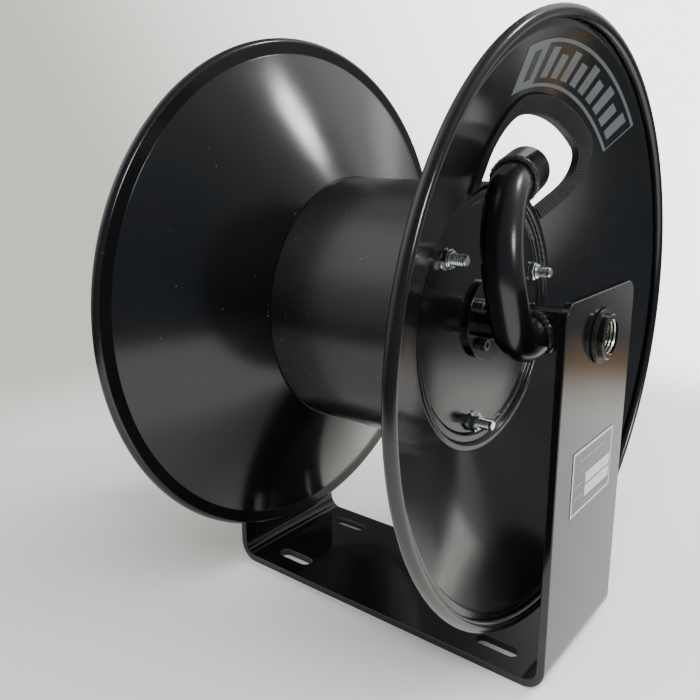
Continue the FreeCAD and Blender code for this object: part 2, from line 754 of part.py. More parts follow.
def make_crank_shaft():
    """Solid stub shaft at the crank end, with a ring groove and a seat for the set screw."""
    body = rod(SHAFT_R, CRANK_SHAFT_END_X, -SHAFT_INNER_X)
    rims = [edge for edge in body.Edges if rim_at(edge, CRANK_SHAFT_END_X, SHAFT_R)]
    body = body.makeChamfer(SHAFT_CHAMFER, rims)
    spot = polar(SHAFT_R - SEAT_SINK, CRANK_ANGLE + 90.0, set_screw_x())
    seat = Part.makeCylinder(SEAT_R, SEAT_DEPTH, spot, polar(1.0, CRANK_ANGLE + 90.0))
    return body.cut([mirrored(ring_groove()), seat])


def set_screw_x():
    """Place of the set screw along the crank's hub, clear of the bar."""
    return CRANK_HUB_X - CRANK_HUB_LENGTH / 2.0 + SET_SCREW_SHIFT


def crank_pin_centre():
    """Centre of the crank's grip pin."""
    return polar(CRANK_RADIUS, CRANK_ANGLE)


def make_crank_arm():
    """Crank arm: a tapered flat bar welded to a hub collar."""
    bar_in = CRANK_HUB_X - CRANK_HUB_LENGTH + CRANK_BAR_T
    bar_out = bar_in - CRANK_BAR_T
    collar = rod(CRANK_HUB_R, CRANK_HUB_X, bar_out)
    pin = crank_pin_centre()
    along = polar(1.0, CRANK_ANGLE)
    across = polar(1.0, CRANK_ANGLE + 90.0)
    wide = CRANK_BAR_WIDTH / 2.0
    narrow = CRANK_BAR_TIP_WIDTH / 2.0
    corners = [across * wide, pin + across * narrow, pin - across * narrow, -across * wide]
    points = [FreeCAD.Vector(bar_out, p.y, p.z) for p in corners]
    bar = Part.Face(Part.makePolygon(points + [points[0]])).extrude(FreeCAD.Vector(CRANK_BAR_T, 0, 0))
    tip = rod(narrow, bar_out, bar_in, pin)
    arm = collar.fuse([bar, tip]).removeSplitter()
    hole_start = FreeCAD.Vector(set_screw_x(), 0, 0)
    hole = Part.makeCylinder(SET_SCREW_HOLE_R, CRANK_HUB_R + PAST, hole_start, across)
    bore = rod(SHAFT_R, CRANK_HUB_X + PAST, bar_out - PAST)
    pin_hole = rod(GRIP_THREAD_R, bar_out - PAST, bar_in + PAST, pin)
    return arm.cut([bore, hole, pin_hole])


def make_set_screw():
    """Socket set screw holding the crank hub in the shaft's seat."""
    across = polar(1.0, CRANK_ANGLE + 90.0)
    start = FreeCAD.Vector(set_screw_x(), 0, 0) + across * (SHAFT_R - SEAT_SINK)
    body = Part.makeCylinder(SET_SCREW_R, SET_SCREW_LENGTH, start, across)
    top = start + across * SET_SCREW_LENGTH
    socket = Part.makeCylinder(SET_SCREW_SOCKET_R, SET_SCREW_SOCKET_T, top, -across)
    return body.cut(socket)


def grip_start_x():
    """Inner end of the grip, just outside the crank bar."""
    return CRANK_HUB_X - CRANK_HUB_LENGTH - GRIP_GAP


def make_grip():
    """Turned plastic grip with a waist, bored to spin on the shoulder bolt."""
    x = grip_start_x()
    end = x - GRIP_LENGTH
    bore = GRIP_BOLT_R + RUNNING_CLEARANCE
    profile = [(x, bore, 0.0)]
    profile += [(x - distance, radius, bend) for distance, radius, bend in GRIP_SHAPE]
    profile.append((end, GRIP_WELL_R, 0.0))
    profile.append((end + GRIP_WELL_T, GRIP_WELL_R, 0.0))
    profile.append((end + GRIP_WELL_T, bore, 0.0))
    shape = revolve(rounded_wire([(FreeCAD.Vector(px, 0, pr), bend) for px, pr, bend in profile]))
    shape.translate(crank_pin_centre())
    return shape


def make_grip_bolt():
    """Shoulder bolt the grip spins on, with a socket head sunk in the grip's end."""
    pin = crank_pin_centre()
    bar_out = CRANK_HUB_X - CRANK_HUB_LENGTH
    bar_in = bar_out + CRANK_BAR_T
    head_out = grip_start_x() - GRIP_LENGTH + GRIP_END_GAP
    head_in = head_out + GRIP_BOLT_HEAD_T
    tip_x = bar_in + GRIP_WASHER_T + GRIP_NUT_T + GRIP_BOLT_TIP
    shoulder = rod(GRIP_BOLT_R, head_in - SINK, bar_out, pin)
    thread = rod(GRIP_THREAD_R - THREAD_PLAY, bar_out - SINK, tip_x, pin)
    head = rod(GRIP_BOLT_HEAD_R, head_out, head_in, pin)
    socket = hexagon(2 * GRIP_BOLT_SOCKET_R, head_out - PAST, head_out + GRIP_BOLT_SOCKET_T, pin)
    return shoulder.fuse([thread, head]).cut(socket).removeSplitter()


def make_grip_washer():
    """Washer under the grip bolt's nut, on the inner face of the crank bar."""
    start = CRANK_HUB_X - CRANK_HUB_LENGTH + CRANK_BAR_T
    return tube(GRIP_WASHER_R, GRIP_THREAD_R, start, start + GRIP_WASHER_T, crank_pin_centre())


def make_grip_nut():
    """Hexagon nut locking the grip bolt to the crank bar."""
    start = CRANK_HUB_X - CRANK_HUB_LENGTH + CRANK_BAR_T + GRIP_WASHER_T
    pin = crank_pin_centre()
    end = start + GRIP_NUT_T
    body = hexagon(GRIP_NUT_ACROSS_FLATS, start, end, pin, GRIP_NUT_TURN)
    return body.cut(rod(GRIP_THREAD_R, start - PAST, end + PAST, pin))


def build():
    """Every node of the reel in the row frame, by name."""
    inlet_disc = make_inlet_disc()
    nodes = {
        "base_bracket": make_bracket(),
        "inlet_bushing": make_bushing(1),
        "crank_bushing": make_bushing(-1),
        "data_label": make_label(),
    }
    reel = {
        "inlet_disc": inlet_disc,
        "crank_disc": mirrored(make_plain_disc()),
        "drum": make_drum(),
        "tie_rods": make_tie_rods(),
        "inlet_lock_nuts": make_lock_nuts(),
        "inlet_tooth_washers": make_tooth_washers(),
        "crank_lock_nuts": mirrored(make_lock_nuts()),
        "crank_tooth_washers": mirrored(make_tooth_washers()),
        "inlet_shaft": make_inlet_shaft(),
        "inlet_hub_plate": make_hub_plate(),
        "inlet_hub_screws": make_hub_screws(),
        "inlet_hub_nuts": make_hub_nuts(),
        "crank_shaft": make_crank_shaft(),
        "crank_hub_plate": mirrored(make_hub_plate()),
        "crank_hub_screws": mirrored(make_hub_screws()),
        "crank_hub_nuts": mirrored(make_hub_nuts()),
        "inlet_retaining_ring": make_retaining_ring(RING_GAP_CENTRE),
        "crank_retaining_ring": mirrored(make_retaining_ring(RING_GAP_CENTRE)),
        "gooseneck": make_gooseneck(),
        "outlet_coupling": make_coupling(),
        "edge_trim": make_edge_trim(inlet_disc),
        "disc_decal": make_decal(),
        "crank_arm": make_crank_arm(),
        "crank_set_screw": make_set_screw(),
        "crank_grip": make_grip(),
        "grip_bolt": make_grip_bolt(),
        "grip_washer": make_grip_washer(),
        "grip_nut": make_grip_nut(),
    }
    for name, shape in reel.items():
        nodes[name] = on_reel(shape)
    return nodes


def main():
    os.makedirs("parts", exist_ok=True)
    for name, shape in build().items():
        shape.exportStep("parts/" + name + ".step")
        box = shape.BoundBox
        print(name, shape.isValid(), len(shape.Solids),
              [round(v, 1) for v in (box.XMin, box.XMax, box.YMin, box.YMax, box.ZMin, box.ZMax)])


main()
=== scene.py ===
import json
import math

import bmesh
import bpy
from mathutils import Matrix, Vector
from mathutils.bvhtree import BVHTree


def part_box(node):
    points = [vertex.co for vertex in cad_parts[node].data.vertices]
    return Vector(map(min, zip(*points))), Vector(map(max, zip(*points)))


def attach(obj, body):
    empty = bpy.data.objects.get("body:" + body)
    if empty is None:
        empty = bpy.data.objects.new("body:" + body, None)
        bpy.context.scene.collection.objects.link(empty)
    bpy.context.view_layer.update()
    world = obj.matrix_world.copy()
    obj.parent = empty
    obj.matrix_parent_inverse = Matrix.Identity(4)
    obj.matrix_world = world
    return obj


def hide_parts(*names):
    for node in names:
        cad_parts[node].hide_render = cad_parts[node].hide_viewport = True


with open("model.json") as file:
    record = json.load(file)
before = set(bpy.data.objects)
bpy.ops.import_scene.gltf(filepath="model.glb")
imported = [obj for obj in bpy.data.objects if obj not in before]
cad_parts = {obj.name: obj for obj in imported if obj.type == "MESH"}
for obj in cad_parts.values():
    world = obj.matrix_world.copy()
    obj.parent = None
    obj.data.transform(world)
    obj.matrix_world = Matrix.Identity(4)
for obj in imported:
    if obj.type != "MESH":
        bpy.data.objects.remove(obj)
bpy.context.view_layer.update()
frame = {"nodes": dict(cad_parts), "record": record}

# The object is a hand-crank hose reel. Its axis runs along X, the fluid inlet is at +X, the
# crank at -X, and -Y is the front. All sizes are in metres.
NODES = frame["nodes"]
MOUNTS = {mount["name"]: mount for mount in frame["record"]["mounts"]}
HUB_LOW, HUB_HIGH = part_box("inlet_hub_plate")
AXIS_Z = (HUB_LOW.z + HUB_HIGH.z) / 2.0
MM = 0.001

# Threads: pitch and ridge height of both kinds, how far a rod's runs under its nut, and how far
# each stops short of its other ends
ROD_PITCH = 1.27 * MM
ROD_RIDGE = 0.28 * MM
ROD_UNDER_NUT = 0.7 * MM
ROD_TIP_GAP = 1.2 * MM
PIPE_PITCH = 1.81 * MM
PIPE_RIDGE = 0.75 * MM
PIPE_MOUTH_GAP = 0.9 * MM
PIPE_INNER_GAP = 0.4 * MM
PIPE_PER_TURN = 72

# A thread's ridge: half width as a share of the pitch, crest as a share of that, how far its foot
# is sunk, and its size at its two ends
RIDGE_FOOT = 0.42
RIDGE_CREST = 0.25
RIDGE_SUNK = 0.05 * MM
RIDGE_END = 0.15

# Vertices of one tie rod lie closer to each other than this across the axis
ROD_APART = 0.02

# Reach of the lighter edges of the bracket and the crank, partly paint worn off and partly a
# painted highlight along the edges
EDGE_RUB_AND_HIGHLIGHT_R = 0.8 * MM

# Weld beads: radius, sides, length of a ripple, its size at the low end and its swell, and a slow
# wobble's amount and count; then each bead's scale, how far the coupling's is drawn in, and the
# sectors and points round the shaft's
WELD_R = 2.2 * MM
WELD_SIDES = 10
WELD_RIPPLE = 2.9 * MM
WELD_LOW = 0.72
WELD_SWELL = 0.36
WELD_WOBBLE = 0.05
WELD_WOBBLES = 9.0
SHAFT_WELD = 1.15
COUPLING_WELD = 0.9
COUPLING_WELD_INSET = 0.4 * MM
SHAFT_WELD_SECTORS = 60
SHAFT_WELD_POINTS = 400

# Stamped disc: sheet thickness, and its outer face from the hub to the rolled rim as distance
# from the drum's middle, radius and bend radius, in mm; then the rolled rim
SHEET_T = 1.5 * MM
LEAST_BEND = 0.3 * MM
DISC_FACE = [(49.0, 13.1, 0.0), (49.0, 70.6, 0.8), (50.6, 71.4, 2.0), (50.6, 76.0, 0.8),
             (53.0, 76.8, 2.0), (53.0, 80.6, 2.0), (96.7, 159.6, 3.0), (96.7, 166.65, 0.0)]
BEAD_RING_R = 166.65 * MM
BEAD_INNER_R = 1.8 * MM
BEAD_CURL = 288.0
BEAD_STEPS = 40

# Turning the discs: sides round the axis, steps per bend in the mesh and in the true normals, how
# closely a true normal has to match its face, and how squarely a flat face looks along the axis
LATHE_SIDES = 384
LATHE_STEPS = 6
NORMAL_STEPS = 24
NORMAL_MATCH = 0.93
FLAT_FACE = 0.9999

# Ribs on the window trim, and the search for the trim's front face along rays from its middle
RIB_PITCH = 1.75 * MM
RIB_WIDTH = 0.85 * MM
RIB_HEIGHT = 0.35 * MM
RIB_SUNK = 0.2 * MM
RIB_CREST = 0.5
RIB_END_GAP = 0.7 * MM
RIB_LONGEST = 0.02
TRIM_MIDDLE_R = 0.93
SEARCH_STEP = 0.25 * MM
SEARCH_LEAST = 12
SEARCH_SKIP = 0.02
SEARCH_NEAREST = 0.01
SEARCH_CLEAR = 0.01

# Printing: thickness, how far it stands off the film below, and its longest facet round the axis
PRINT_T = 0.05 * MM
PRINT_LIFT = 0.02 * MM
PRINT_FACET = math.radians(1.5)

# Vertices this close to a radius or a plane count as lying on it; the riser's saddle on the shaft
# is picked out more narrowly
ON_FACE = 0.1 * MM
ON_SHAFT = 0.08 * MM

# Edges that bend less than this are shaded smooth
SMOOTH_UNDER = math.radians(50.0)

# Shortest squared length that still counts as a stretch of an outline
TINY = 1e-18


# ---------------------------------------------------------------- node helpers

def set_stops(node, stops):
    """Sets a colour ramp's (position, grey or colour) stops."""
    elements = node.color_ramp.elements
    while len(elements) < len(stops):
        elements.new(0.5)
    for element, (place, colour) in zip(elements, stops):
        element.position = place
        if not hasattr(colour, "__len__"):
            colour = (colour, colour, colour)
        element.color = (*colour, 1.0)


class Graph:
    """A material's node tree, built with short calls."""

    def __init__(self, name):
        self.material = bpy.data.materials.new(name)
        self.material.use_nodes = True
        self.tree = self.material.node_tree
        self.shader = self.tree.nodes["Principled BSDF"]

    def node(self, kind, **values):
        made = self.tree.nodes.new(kind)
        for key, value in values.items():
            if hasattr(made, key):
                setattr(made, key, value)
            else:
                made.inputs[key].default_value = value
        return made

    def link(self, source, target):
        self.tree.links.new(source, target)

    def position(self):
        """Object space position in metres, which rides with the body."""
        return self.node("ShaderNodeTexCoord").outputs["Object"]

    def noise(self, scale, detail=3.0, roughness=0.5, stretch=None):
        made = self.node("ShaderNodeTexNoise", Scale=scale, Detail=detail, Roughness=roughness)
        where = self.position()
        if stretch:
            mapping = self.node("ShaderNodeMapping", Scale=stretch)
            self.link(where, mapping.inputs["Vector"])
            where = mapping.outputs["Vector"]
        self.link(where, made.inputs["Vector"])
        return made.outputs["Fac"]

    def specks(self, scale, size, share):
        """Small round specks in a share of the cells of a given scale."""
        made = self.node("ShaderNodeTexVoronoi", Scale=scale)
        self.link(self.position(), made.inputs["Vector"])
        dots = self.ramp(made.outputs["Distance"], [(size * 0.6, 1.0), (size, 0.0)])
        split = self.node("ShaderNodeSeparateColor")
        self.link(made.outputs["Color"], split.inputs["Color"])
        chosen = self.math("GREATER_THAN", split.outputs["Red"], 1.0 - share)
        return self.math("MULTIPLY", dots, chosen)

    def ramp(self, source, stops):
        """Colour ramp from (position, grey or colour) stops."""
        made = self.node("ShaderNodeValToRGB")
        set_stops(made, stops)
        self.link(source, made.inputs["Fac"])
        return made.outputs["Color"]

    def spread(self, source, low, high):
        """Maps 0..1 to low..high."""
        made = self.node("ShaderNodeMapRange")
        made.inputs["To Min"].default_value = low
        made.inputs["To Max"].default_value = high
        self.link(source, made.inputs["Value"])
        return made.outputs["Result"]

    def math(self, operation, first, second):
        made = self.node("ShaderNodeMath", operation=operation)
        for socket, value in zip(made.inputs, (first, second)):
            if hasattr(value, "is_linked"):
                self.link(value, socket)
            else:
                socket.default_value = value
        return made.outputs["Value"]

    def mix(self, factor, first, second):
        made = self.node("ShaderNodeMix", data_type="RGBA")
        for name, value in (("Factor", factor), ("A", first), ("B", second)):
            socket = [s for s in made.inputs if s.name == name and s.enabled][0]
            if hasattr(value, "is_linked"):
                self.link(value, socket)
            else:
                socket.default_value = (*value, 1.0) if hasattr(value, "__len__") else value
        return [s for s in made.outputs if s.enabled][0]

    def bump(self, height, strength, distance, below=None):
        made = self.node("ShaderNodeBump", Strength=strength, Distance=distance)
        self.link(height, made.inputs["Height"])
        if below:
            self.link(below, made.inputs["Normal"])
        return made.outputs["Normal"]

    def edge_rub_and_highlight_mask(self, radius):
        """0 on open faces, rising to 1 on sharp edges."""
        bevel = self.node("ShaderNodeBevel", Radius=radius)
        geometry = self.node("ShaderNodeNewGeometry")
        dot = self.node("ShaderNodeVectorMath", operation="DOT_PRODUCT")
        self.link(bevel.outputs["Normal"], dot.inputs[0])
        self.link(geometry.outputs["Normal"], dot.inputs[1])
        turned = self.math("SUBTRACT", 1.0, dot.outputs["Value"])
        return self.ramp(turned, [(0.02, 0.0), (0.2, 1.0)])

    def finish(self, colour=None, roughness=None, normal=None, **fixed):
        if colour is not None:
            self.link(colour, self.shader.inputs["Base Color"])
        if roughness is not None:
            self.link(roughness, self.shader.inputs["Roughness"])
        if normal is not None:
            self.link(normal, self.shader.inputs["Normal"])
        for key, value in fixed.items():
            self.shader.inputs[key.replace("_", " ")].default_value = value
        return self.material


def black_coat(name, gloss, peel, dust=0.3, tone=0.003, worn=0.0):
    """Glossy black powder coat: faint orange peel, soft haze, a few dust specks, wiped streaks."""
    g = Graph(name)
    fine = g.bump(g.noise(scale=420.0, detail=2.0), strength=peel, distance=0.3 * MM)
    broad = g.noise(scale=38.0, detail=2.0)
    normal = g.bump(broad, strength=peel * 0.6, distance=1.0 * MM, below=fine)
    cloud = g.noise(scale=22.0, detail=4.0, roughness=0.6)
    cool = (tone * 0.8, tone * 0.95, tone * 1.1)
    warm = (tone * 1.4, tone * 1.4, tone * 1.45)
    colour = g.ramp(cloud, [(0.3, cool), (0.7, warm)])
    amount = g.math("MULTIPLY", g.specks(scale=230.0, size=0.09, share=0.08), dust)
    colour = g.mix(amount, colour, (0.35, 0.35, 0.34))
    # Sharp edges are mixed to light grey: partly paint worn off, partly a painted highlight along
    # the edges
    if worn:
        patchy = g.ramp(g.noise(scale=75.0), [(0.35, 0.35), (0.65, 1.0)])
        rub_and_highlight_edges = g.math("MULTIPLY", g.edge_rub_and_highlight_mask(EDGE_RUB_AND_HIGHLIGHT_R), patchy)
        colour = g.mix(g.math("MULTIPLY", rub_and_highlight_edges, worn), colour, (0.30, 0.31, 0.31))
    haze = g.noise(scale=30.0, detail=5.0, roughness=0.65)
    wiped = g.noise(scale=60.0, roughness=0.6, stretch=(1.0, 0.3, 1.6))
    roughness = g.spread(g.math("MULTIPLY", haze, wiped), gloss - 0.03, gloss + 0.13)
    return g.finish(colour, roughness, normal)


def zinc(name, tint=(0.84, 0.87, 0.84), rough=0.22):
    """Bright zinc plate with faint blotches and fine scratches."""
    g = Graph(name)
    blotch = g.noise(scale=260.0)
    colour = g.ramp(blotch, [(0.3, [0.78 * c for c in tint]), (0.7, tint)])
    scratch = g.noise(scale=700.0, detail=2.0, stretch=(1.0, 1.0, 5.0))
    roughness = g.spread(scratch, rough - 0.06, rough + 0.10)
    normal = g.bump(scratch, strength=0.05, distance=0.2 * MM)
    return g.finish(colour, roughness, normal, Metallic=1.0)


def dark_steel(name, tone=0.08, rough=0.3):
    """Dark oxidised steel, unevenly worn."""
    g = Graph(name)
    wear = g.noise(scale=300.0, detail=4.0, roughness=0.6)
    colour = g.ramp(wear, [(0.35, tone * 0.7), (0.7, tone * 1.6)])
    roughness = g.spread(g.noise(scale=500.0), rough - 0.08, rough + 0.10)
    normal = g.bump(wear, strength=0.06, distance=0.2 * MM)
    return g.finish(colour, roughness, normal, Metallic=0.9)


def rubber(name, tone):
    """Black edging rubber: matt, grained, with grey bloom."""
    g = Graph(name)
    bloom = g.noise(scale=140.0, detail=4.0, roughness=0.6)
    colour = g.ramp(bloom, [(0.35, tone * 0.8), (0.75, tone * 2.2)])
    roughness = g.spread(bloom, 0.42, 0.62)
    normal = g.bump(g.noise(scale=1500.0, detail=2.0), strength=0.2, distance=0.3 * MM)
    return g.finish(colour, roughness, normal)


def plastic(name, tone, rough):
    """Moulded plastic with fine grain."""
    g = Graph(name)
    grain = g.noise(scale=1100.0)
    colour = g.ramp(g.noise(scale=90.0), [(0.3, tone * 0.8), (0.7, tone * 1.25)])
    roughness = g.spread(grain, rough - 0.06, rough + 0.1)
    return g.finish(colour, roughness, g.bump(grain, strength=0.12, distance=0.3 * MM))


def film(name, tone, rough):
    """Printed film or ink, slightly uneven."""
    g = Graph(name)
    uneven = g.noise(scale=180.0)
    colour = g.ramp(uneven, [(0.3, [0.86 * c for c in tone]), (0.7, tone)])
    roughness = g.spread(uneven, rough - 0.04, rough + 0.10)
    normal = g.bump(g.noise(scale=500.0, detail=2.0), strength=0.03, distance=0.2 * MM)
    return g.finish(colour, roughness, normal)


# ---------------------------------------------------------------- materials on the CAD nodes

MATERIALS = {
    # The bracket's lighter edges are partly worn paint and partly a painted highlight along the
    # edges
    "bracket": black_coat("coat_bracket", gloss=0.10, peel=0.045, worn=0.55),
    "disc": black_coat("coat_disc", gloss=0.16, peel=0.02),
    "drum": black_coat("coat_drum", gloss=0.25, peel=0.02, dust=0.5),
    "pipe": black_coat("coat_pipe", gloss=0.22, peel=0.02, dust=0.1),
    "hub": black_coat("coat_hub", gloss=0.12, peel=0.02, dust=0.2),
    # The weld coat's tone is lighter than the other black coats: a painted highlight for the light
    # the beads catch
    "weld": black_coat("coat_weld", gloss=0.13, peel=0.01, dust=0.0, tone=0.015),
    "zinc": zinc("zinc_plate"),
    "bare": zinc("bare_thread", tint=(0.78, 0.74, 0.66), rough=0.25),
    "dark": dark_steel("dark_steel"),
    "screw": dark_steel("dark_screw", tone=0.12, rough=0.28),
    "rubber": rubber("trim_rubber", tone=0.006),
    "bushing": plastic("bearing_plastic", tone=0.012, rough=0.3),
    "grip": plastic("grip_plastic", tone=0.018, rough=0.42),
    "label": film("label_film", tone=(0.005, 0.005, 0.006), rough=0.12),
    "decal": film("decal_film", tone=(0.004, 0.005, 0.006), rough=0.14),
    "silver_ink": film("silver_ink", tone=(0.10, 0.11, 0.115), rough=0.30),
    "white_ink": film("white_ink", tone=(0.42, 0.43, 0.41), rough=0.30),
}

NODE_MATERIAL = {
    "base_bracket": "bracket", "inlet_bushing": "bushing", "crank_bushing": "bushing",
    "data_label": "label", "disc_decal": "decal", "inlet_disc": "disc", "crank_disc": "disc",
    "drum": "drum", "tie_rods": "zinc", "inlet_lock_nuts": "zinc", "crank_lock_nuts": "zinc",
    "inlet_tooth_washers": "zinc", "crank_tooth_washers": "zinc", "inlet_shaft": "hub",
    "crank_shaft": "hub", "inlet_hub_plate": "hub", "crank_hub_plate": "hub",
    "inlet_hub_screws": "screw", "crank_hub_screws": "screw", "inlet_hub_nuts": "zinc",
    "crank_hub_nuts": "zinc", "inlet_retaining_ring": "dark", "crank_retaining_ring": "dark",
    "gooseneck": "pipe", "outlet_coupling": "hub", "edge_trim": "rubber",
    "crank_arm": "bracket", "crank_set_screw": "dark", "crank_grip": "grip",
    "grip_bolt": "zinc", "grip_washer": "zinc", "grip_nut": "zinc",
}


def paint_cad_nodes():
    """Gives every carried-over CAD node its finish."""
    for name, key in NODE_MATERIAL.items():
        mesh = NODES[name].data
        mesh.materials.clear()
        mesh.materials.append(MATERIALS[key])


# ---------------------------------------------------------------- mesh helpers

class Shell:
    """Vertices and faces gathered from several closed solids."""

    def __init__(self):
        self.verts = []
        self.faces = []

    def add(self, verts, faces):
        start = len(self.verts)
        self.verts.extend(verts)
        self.faces.extend([tuple(start + i for i in face) for face in faces])

    def piece(self, name, material, body, slot, smooth=True):
        """Makes the gathered solids one piece that rides on a body."""
        mesh = bpy.data.meshes.new(name)
        mesh.from_pydata([tuple(v) for v in self.verts], [], self.faces)
        mesh.validate()
        outwards = bmesh.new()
        outwards.from_mesh(mesh)
        bmesh.ops.recalc_face_normals(outwards, faces=outwards.faces)
        outwards.to_mesh(mesh)
        outwards.free()
        for polygon in mesh.polygons:
            polygon.use_smooth = smooth
        if smooth:
            mesh.set_sharp_from_angle(angle=SMOOTH_UNDER)
        mesh.materials.append(MATERIALS[material])
        obj = bpy.data.objects.new(name, mesh)
        bpy.context.scene.collection.objects.link(obj)
        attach(obj, body)
        return obj


def sweep(points, normals, section, closed, scales=None):
    """Solid swept along points; the section is (across, outwards) pairs beside the normals."""
    count, sides = len(points), len(section)
    verts = []
    for i, (point, normal) in enumerate(zip(points, normals)):
        before = points[i - 1] if closed or i > 0 else point
        after = points[(i + 1) % count] if closed or i < count - 1 else point
        tangent = (after - before).normalized()
        out = (normal - tangent * normal.dot(tangent)).normalized()
        across = tangent.cross(out)
        scale = scales[i] if scales else 1.0
        for a, r in section:
            verts.append(point + across * (a * scale) + out * (r * scale))
    faces = []
    for i in range(count if closed else count - 1):
        j = (i + 1) % count
        for k in range(sides):
            m = (k + 1) % sides
            faces.append((i * sides + k, j * sides + k, j * sides + m, i * sides + m))
    if not closed:
        faces.append(tuple(range(sides)))
        faces.append(tuple((count - 1) * sides + k for k in reversed(range(sides))))
    return verts, faces


def circle_section(radius, sides):
    """Round section for a sweep."""
    steps = [2 * math.pi * k / sides for k in range(sides)]
    return [(radius * math.cos(a), radius * math.sin(a)) for a in steps]


def axis_frame(axis):
    """Two unit vectors square to an axis."""
    first = axis.orthogonal().normalized()
    return first, axis.cross(first)


def thread(centre, axis, radius, start, end, pitch, height, inward=False, per_turn=48):
    """Helical ridge round an axis, from start to end along it."""
    u, v = axis_frame(axis)
    turns = (end - start) / pitch
    count = int(turns * per_turn)
    points, normals, scales = [], [], []
    for i in range(count + 1):
        angle = 2 * math.pi * i / per_turn
        out = u * math.cos(angle) + v * math.sin(angle)
        points.append(centre + axis * (start + pitch * i / per_turn) + out * radius)
        normals.append(-out if inward else out)
        scales.append(min(1.0, RIDGE_END + i / per_turn, RIDGE_END + (count - i) / per_turn))
    foot = pitch * RIDGE_FOOT
    crest = foot * RIDGE_CREST
    section = [(-foot, -RIDGE_SUNK), (foot, -RIDGE_SUNK), (crest, height), (-crest, height)]
    return sweep(points, normals, section, closed=False, scales=scales)


def box_solid(corners_low, corners_high):
    """Closed solid between two four-cornered faces given in the same order."""
    faces = [(3, 2, 1, 0), (4, 5, 6, 7)]
    for k in range(4):
        m = (k + 1) % 4
        faces.append((k, m, 4 + m, 4 + k))
    return list(corners_low) + list(corners_high), faces


def mesh_tree(name):
    """Search tree over a CAD node's mesh."""
    mesh = NODES[name].data
    return BVHTree.FromPolygons([v.co for v in mesh.vertices], [p.vertices for p in mesh.polygons])


def about_axis(point):
    """Radius and angle of a point about the reel axis."""
    return math.hypot(point.y, point.z - AXIS_Z), math.atan2(point.z - AXIS_Z, point.y)


def at(x, radius, angle):
    """Point at a radius and an angle about the reel axis."""
    return Vector((x, radius * math.cos(angle), AXIS_Z + radius * math.sin(angle)))


# ---------------------------------------------------------------- added detail

def offset_corners(corners, offset):
    """Corners of an outline moved to its left by an offset and mitred."""
    ways = [(on - corner).normalized() for corner, on in zip(corners, corners[1:])]
    moved = []
    for i, corner in enumerate(corners):
        before = ways[max(i - 1, 0)]
        after = ways[min(i, len(ways) - 1)]
        turn = (before + after).normalized()
        side = Vector((-turn.y, turn.x))
        moved.append(corner + side * (offset / turn.dot(before)))
    return moved


def turns_left(corners, i):
    """True where an outline bends to the left at a corner."""
    before, after = corners[i] - corners[i - 1], corners[i + 1] - corners[i]
    return before.x * after.y > before.y * after.x


def rounded(corners, radii, steps):
    """Outline with each corner replaced by an arc."""
    outline = [corners[0]]
    for i in range(1, len(corners) - 1):
        corner, radius = corners[i], radii[i]
        back = (corners[i - 1] - corner).normalized()
        on = (corners[i + 1] - corner).normalized()
        half = back.angle(on) / 2.0
        cut = radius / math.tan(half)
        middle = corner + (back + on).normalized() * (radius / math.sin(half))
        start, end = corner + back * cut - middle, corner + on * cut - middle
        sweep_angle = start.angle_signed(end)
        for k in range(steps + 1):
            turn = -sweep_angle * k / steps
            outline.append(middle + Matrix.Rotation(turn, 2) @ start)
    outline.append(corners[-1])
    return outline


def disc_outline(steps):
    """Closed section of a stamped disc in distance and radius, with its rolled rim."""
    corners = [Vector((x * MM, r * MM)) for x, r, _ in DISC_FACE]
    bends = [bend * MM for _, _, bend in DISC_FACE]
    face = rounded(corners, bends, steps)
    near = list(bends)
    for i in range(1, len(corners) - 1):
        near[i] = max(LEAST_BEND, bends[i] + (-SHEET_T if turns_left(corners, i) else SHEET_T))
    back = rounded(offset_corners(corners, SHEET_T), near, steps)
    outer_r = BEAD_INNER_R + SHEET_T
    centre = Vector((corners[-1].x + BEAD_INNER_R, BEAD_RING_R))
    turns = [math.radians(BEAD_CURL) * k / BEAD_STEPS for k in range(BEAD_STEPS + 1)]
    outside = [centre + Vector((-math.cos(a), math.sin(a))) * outer_r for a in turns]
    inside = [centre + Vector((-math.cos(a), math.sin(a))) * BEAD_INNER_R for a in turns]
    return face[:-1] + inside + outside[::-1] + back[::-1][1:]


def turned_normal(outline, normals, x, radius):
    """Outward normal in distance and radius at the nearest stretch of an outline."""
    spot = Vector((x, radius))
    best = None
    for i, start in enumerate(outline):
        end = outline[(i + 1) % len(outline)]
        along = end - start
        share = min(1.0, max(0.0, (spot - start).dot(along) / max(along.length_squared, TINY)))
        gap = (start + along * share - spot).length_squared
        if best is None or gap < best[0]:
            best = (gap, i, share)
    _, i, share = best
    return normals[i].lerp(normals[(i + 1) % len(outline)], share).normalized()


def outline_normals(outline):
    """Outward normals at the corners of a closed outline, one per point."""
    area = sum(a.x * b.y - b.x * a.y for a, b in zip(outline, outline[1:] + outline[:1]))
    way = 1.0 if area > 0 else -1.0
    sides = []
    for i, start in enumerate(outline):
        along = (outline[(i + 1) % len(outline)] - start).normalized()
        sides.append(Vector((along.y, -along.x)) * way)
    return [(sides[i - 1] + sides[i]).normalized() for i in range(len(outline))]


